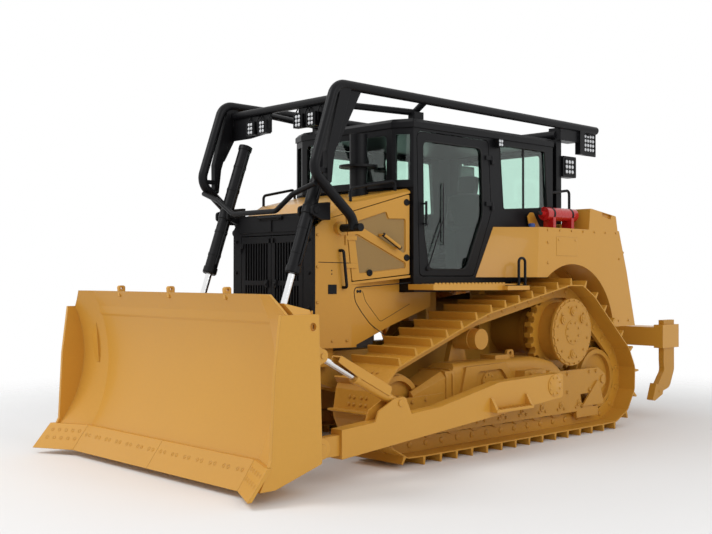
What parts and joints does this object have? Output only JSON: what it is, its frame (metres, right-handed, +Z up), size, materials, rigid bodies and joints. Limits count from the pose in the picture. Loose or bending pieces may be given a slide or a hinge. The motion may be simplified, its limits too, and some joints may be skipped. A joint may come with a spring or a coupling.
{
  "type": "bulldozer",
  "caption": "Crawler bulldozer with raised drive sprockets, a U-sided push blade, glazed cab with guard sweeps and a rear parallelogram ripper; blade, ripper and doors move.",
  "frame": {"origin": "bottom centre of the whole machine, on the ground under the track grousers", "axes": "+X forward towards the blade, +Y to the driver's left, +Z up"},
  "size_m": [6.445, 3.114, 3.2092],
  "materials": {
    "machine_yellow": "satin",
    "blade_yellow": "satin",
    "frame_brown": "satin",
    "black_paint": "satin",
    "track_steel": "satin",
    "rod_chrome": "polished",
    "cab_glass": "gloss",
    "seat_black": "matte",
    "console_grey": "matte",
    "extinguisher_red": "gloss",
    "cast_grey": "satin",
    "lamp_grey": "matte"
  },
  "bodies": {
    "chassis": {"main_frame": "frame_brown", "rear_case": "frame_brown", "engine_block": "cast_grey", "belly_guard": "frame_brown", "equalizer_bar": "frame_brown", "track_frame_left": "frame_brown", "track_frame_right": "frame_brown", "track_left": "track_steel", "track_right": "track_steel", "final_drives": "frame_brown", "sprockets": "track_steel", "idlers": "frame_brown", "rollers": "frame_brown", "hood": "machine_yellow", "side_panels": "machine_yellow", "radiator_guard": "black_paint", "cab_shell": "black_paint", "cab_roof": "black_paint", "cab_glass": "cab_glass", "operator_seat": "seat_black", "console": "console_grey", "fender_left": "machine_yellow", "fender_right": "machine_yellow", "fuel_tank": "machine_yellow", "walkways": "machine_yellow", "exhaust_stack": "black_paint", "sweeps": "black_paint", "work_lamps": "lamp_grey", "handrails": "black_paint", "fire_extinguisher": "extinguisher_red", "ripper_bracket": "machine_yellow"},
    "lift_carrier": {"trunnion_balls": "cast_grey"},
    "blade_body": {"blade": "blade_yellow", "cutting_edges": "track_steel"},
    "arm_left": {"push_arm_left": "machine_yellow"},
    "arm_right": {"push_arm_right": "machine_yellow"},
    "tilt_cylinder_left": {"tilt_barrel_left": "machine_yellow"},
    "tilt_cylinder_right": {"tilt_barrel_right": "machine_yellow"},
    "tilt_piston_left": {"tilt_rod_left": "rod_chrome"},
    "tilt_piston_right": {"tilt_rod_right": "rod_chrome"},
    "lift_cylinder_left": {"lift_barrel_left": "black_paint"},
    "lift_cylinder_right": {"lift_barrel_right": "black_paint"},
    "lift_piston_left": {"lift_rod_left": "rod_chrome"},
    "lift_piston_right": {"lift_rod_right": "rod_chrome"},
    "engine_door_l": {"engine_door_left": "machine_yellow"},
    "engine_door_r": {"engine_door_right": "machine_yellow"},
    "grille_door_l": {"grille_door_left": "black_paint"},
    "grille_door_r": {"grille_door_right": "black_paint"},
    "cab_door_l": {"cab_door_left": "black_paint", "door_glass_left": "cab_glass"},
    "cab_door_r": {"cab_door_right": "black_paint", "door_glass_right": "cab_glass"},
    "ripper_arm": {"ripper_lower_link": "machine_yellow"},
    "ripper_top_links": {"ripper_upper_links": "machine_yellow"},
    "ripper_tool": {"ripper_beam": "machine_yellow", "ripper_shanks": "cast_grey"},
    "ripper_cylinder": {"ripper_barrels": "machine_yellow"},
    "ripper_piston": {"ripper_rods": "rod_chrome"}
  },
  "joints": [
    {"name": "blade_lift", "type": "hinge", "parent": "chassis", "child": "lift_carrier", "pos_m": [-0.4465, 0, 0.56], "axis": [0, -1, 0], "range_deg": [-7, 16]},
    {"name": "blade_tilt", "type": "hinge", "parent": "lift_carrier", "child": "blade_body", "pos_m": [-0.4465, 0, 0.56], "axis": [0.9961, 0, -0.0879], "range_deg": [-6.6, 6.6]},
    {"name": "arm_pivot_left", "type": "hinge", "parent": "blade_body", "child": "arm_left", "pos_m": [2.4335, 1.36, 0.306], "axis": [0, -1, 0], "range_deg": [-3.3, 3.3]},
    {"name": "tilt_pivot_left", "type": "hinge", "parent": "arm_left", "child": "tilt_cylinder_left", "pos_m": [1.5985, 1.36, 0.571], "axis": [0, -1, 0], "range_deg": [-1.2, 1.2]},
    {"name": "tilt_stroke_left", "type": "slide", "parent": "tilt_cylinder_left", "child": "tilt_piston_left", "axis": [0.8916, 0, 0.4529], "range_m": [-0.036, 0.036]},
    {"name": "lift_pivot_left", "type": "hinge", "parent": "chassis", "child": "lift_cylinder_left", "pos_m": [1.8275, 0.58, 2.12], "axis": [0, -1, 0], "range_deg": [-4.1, 9.3]},
    {"name": "lift_stroke_left", "type": "slide", "parent": "lift_cylinder_left", "child": "lift_piston_left", "axis": [0.3309, 0, -0.9437], "range_m": [-0.752, 0.33]},
    {"name": "arm_pivot_right", "type": "hinge", "parent": "blade_body", "child": "arm_right", "pos_m": [2.4335, -1.36, 0.306], "axis": [0, -1, 0], "range_deg": [-3.3, 3.3]},
    {"name": "tilt_pivot_right", "type": "hinge", "parent": "arm_right", "child": "tilt_cylinder_right", "pos_m": [1.5985, -1.36, 0.571], "axis": [0, -1, 0], "range_deg": [-1.2, 1.2]},
    {"name": "tilt_stroke_right", "type": "slide", "parent": "tilt_cylinder_right", "child": "tilt_piston_right", "axis": [0.8916, 0, 0.4529], "range_m": [-0.036, 0.036]},
    {"name": "lift_pivot_right", "type": "hinge", "parent": "chassis", "child": "lift_cylinder_right", "pos_m": [1.8275, -0.58, 2.12], "axis": [0, -1, 0], "range_deg": [-4.1, 9.3]},
    {"name": "lift_stroke_right", "type": "slide", "parent": "lift_cylinder_right", "child": "lift_piston_right", "axis": [0.3309, 0, -0.9437], "range_m": [-0.752, 0.33]},
    {"name": "ripper_lift", "type": "hinge", "parent": "chassis", "child": "ripper_arm", "pos_m": [-2.0165, 0, 0.7], "axis": [0, 1, 0], "range_deg": [-32, 20]},
    {"name": "ripper_top", "type": "hinge", "parent": "chassis", "child": "ripper_top_links", "pos_m": [-2.0165, 0, 1.01], "axis": [0, 1, 0], "range_deg": [-32, 20]},
    {"name": "ripper_level", "type": "hinge", "parent": "ripper_arm", "child": "ripper_tool", "pos_m": [-2.8015, 0, 0.79], "axis": [0, 1, 0], "range_deg": [-20, 32]},
    {"name": "ripper_cylinder_pivot", "type": "hinge", "parent": "chassis", "child": "ripper_cylinder", "pos_m": [-1.9865, 0, 1.11], "axis": [0, 1, 0], "range_deg": [-22.1, 13.9]},
    {"name": "ripper_stroke", "type": "slide", "parent": "ripper_cylinder", "child": "ripper_piston", "axis": [-0.922, 0, -0.3871], "range_m": [-0.124, 0.1972]},
    {"name": "engine_door_hinge_left", "type": "hinge", "parent": "chassis", "child": "engine_door_l", "pos_m": [1.4475, 0.62135, 1.82], "axis": [0, 0, -1], "range_deg": [0, 75]},
    {"name": "grille_door_hinge_left", "type": "hinge", "parent": "chassis", "child": "grille_door_l", "pos_m": [1.7685, 0.428, 1.51], "axis": [0, 0, 1], "range_deg": [0, 90]},
    {"name": "cab_door_hinge_left", "type": "hinge", "parent": "chassis", "child": "cab_door_l", "pos_m": [-0.2915, 0.812, 2.2], "axis": [0, 0, 1], "range_deg": [0, 90]},
    {"name": "engine_door_hinge_right", "type": "hinge", "parent": "chassis", "child": "engine_door_r", "pos_m": [1.4475, -0.62135, 1.82], "axis": [0, 0, 1], "range_deg": [0, 75]},
    {"name": "grille_door_hinge_right", "type": "hinge", "parent": "chassis", "child": "grille_door_r", "pos_m": [1.7685, -0.428, 1.51], "axis": [0, 0, -1], "range_deg": [0, 90]},
    {"name": "cab_door_hinge_right", "type": "hinge", "parent": "chassis", "child": "cab_door_r", "pos_m": [-0.2915, -0.812, 2.2], "axis": [0, 0, -1], "range_deg": [0, 90]}
  ],
  "couplings": [
    {"joint": "arm_pivot_left", "follows": "blade_tilt", "ratio": 0.47228},
    {"joint": "tilt_pivot_left", "follows": "blade_tilt", "ratio": -0.14973},
    {"joint": "tilt_stroke_left", "follows": "blade_tilt", "m_per_rad": 0.29044},
    {"joint": "lift_pivot_left", "follows": "blade_lift", "ratio": 0.57446},
    {"joint": "lift_stroke_left", "follows": "blade_lift", "m_per_rad": -2.6856},
    {"joint": "arm_pivot_right", "follows": "blade_tilt", "ratio": -0.47228},
    {"joint": "tilt_pivot_right", "follows": "blade_tilt", "ratio": 0.14973},
    {"joint": "tilt_stroke_right", "follows": "blade_tilt", "m_per_rad": -0.29044},
    {"joint": "lift_pivot_right", "follows": "blade_lift", "ratio": 0.57446},
    {"joint": "lift_stroke_right", "follows": "blade_lift", "m_per_rad": -2.6856},
    {"joint": "ripper_top", "follows": "ripper_lift", "ratio": 1},
    {"joint": "ripper_level", "follows": "ripper_lift", "ratio": -1},
    {"joint": "ripper_cylinder_pivot", "follows": "ripper_lift", "ratio": 0.684},
    {"joint": "ripper_stroke", "follows": "ripper_lift", "m_per_rad": -0.3495}
  ]
}
